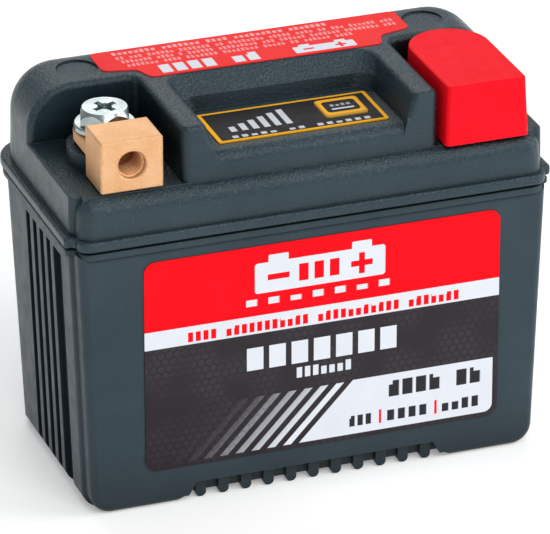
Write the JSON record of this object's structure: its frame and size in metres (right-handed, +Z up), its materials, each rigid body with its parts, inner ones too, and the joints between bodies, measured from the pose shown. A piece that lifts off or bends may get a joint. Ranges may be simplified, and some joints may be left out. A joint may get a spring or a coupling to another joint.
{
  "type": "motorcycle battery",
  "caption": "Small sealed lithium motorcycle battery: ribbed case, domed lid with two terminal wells, charge gauge with test key, red positive cap.",
  "frame": {"origin": "centre of the underside of the case, where it stands", "axes": "+X along the labelled front towards the positive terminal, -Y out of the labelled front, +Z up"},
  "size_m": [0.107, 0.056, 0.085],
  "materials": {
    "case_plastic": "fine-grained injection moulded PP, dark slate blue",
    "lid_plastic": "fine-grained injection moulded PP, dark slate blue",
    "front_label": "printed film, satin",
    "top_label": "printed film, satin",
    "gauge_overlay": "printed film with a yellow border, matt",
    "gauge_lens": "milky diffuser",
    "button_film": "embossed film, satin",
    "terminal_brass": "fine blasted, lightly oxidised",
    "insert_brass": "turned",
    "zinc_steel": "bright zinc plating",
    "cap_plastic": "soft PVC, matt",
    "foam": "closed-cell foam",
    "copper_foil": "nickel-flashed copper foil",
    "aluminium_foil": "rolled foil",
    "bus_copper": "stamped copper",
    "circuit_board": "green solder mask",
    "chip_package": "moulded epoxy",
    "pin_plating": "gold flash",
    "led_lens": "clear epoxy",
    "cell_pouch": "laminated foil"
  },
  "bodies": {
    "battery": {"balance_board": "circuit_board", "balance_chips": "chip_package", "balance_resistors": "chip_package", "balance_taps": "pin_plating", "base_pad": "foam", "case": "case_plastic", "cell_1": "cell_pouch", "cell_2": "cell_pouch", "cell_3": "cell_pouch", "cell_4": "cell_pouch", "cell_spacer_1": "foam", "cell_spacer_2": "foam", "cell_spacer_3": "foam", "end_pads": "foam", "front_label": "front_label", "front_pad": "foam", "gauge_board": "circuit_board", "gauge_leds": "led_lens", "gauge_lenses": "gauge_lens", "gauge_overlay": "gauge_overlay", "gauge_screws": "zinc_steel", "header_housing": "chip_package", "header_pins": "pin_plating", "lid": "lid_plastic", "negative_busbar": "bus_copper", "negative_cell_tabs": "copper_foil", "negative_insert": "insert_brass", "negative_terminal_block": "terminal_brass", "negative_washer": "zinc_steel", "positive_busbar": "bus_copper", "positive_cell_tabs": "aluminium_foil", "positive_insert": "insert_brass", "positive_terminal_block": "terminal_brass", "positive_washer": "zinc_steel", "rear_pad": "foam", "series_link_1": "bus_copper", "series_link_2": "bus_copper", "series_link_3": "bus_copper", "test_switch": "chip_package", "top_label": "top_label"},
    "terminal_cap": {"positive_cap": "cap_plastic"},
    "test_key": {"test_button": "button_film"},
    "negative_bolt": {"negative_terminal_bolt": "zinc_steel"},
    "positive_bolt": {"positive_terminal_bolt": "zinc_steel"}
  },
  "joints": [
    {"name": "positive_cap_lift", "type": "slide", "parent": "battery", "child": "terminal_cap", "axis": [0, 0, 1], "range_m": [0, 0.02]},
    {"name": "test_key_press", "type": "slide", "parent": "battery", "child": "test_key", "axis": [0, 0, -1], "range_m": [0, 0.00035], "stiffness_N_per_m": 3000},
    {"name": "negative_bolt_turn", "type": "hinge", "parent": "battery", "child": "negative_bolt", "pos_m": [-0.039, -0.007, 0.08], "axis": [0, 0, 1], "continuous": true},
    {"name": "positive_bolt_turn", "type": "hinge", "parent": "battery", "child": "positive_bolt", "pos_m": [0.039, -0.007, 0.08], "axis": [0, 0, 1], "continuous": true}
  ]
}
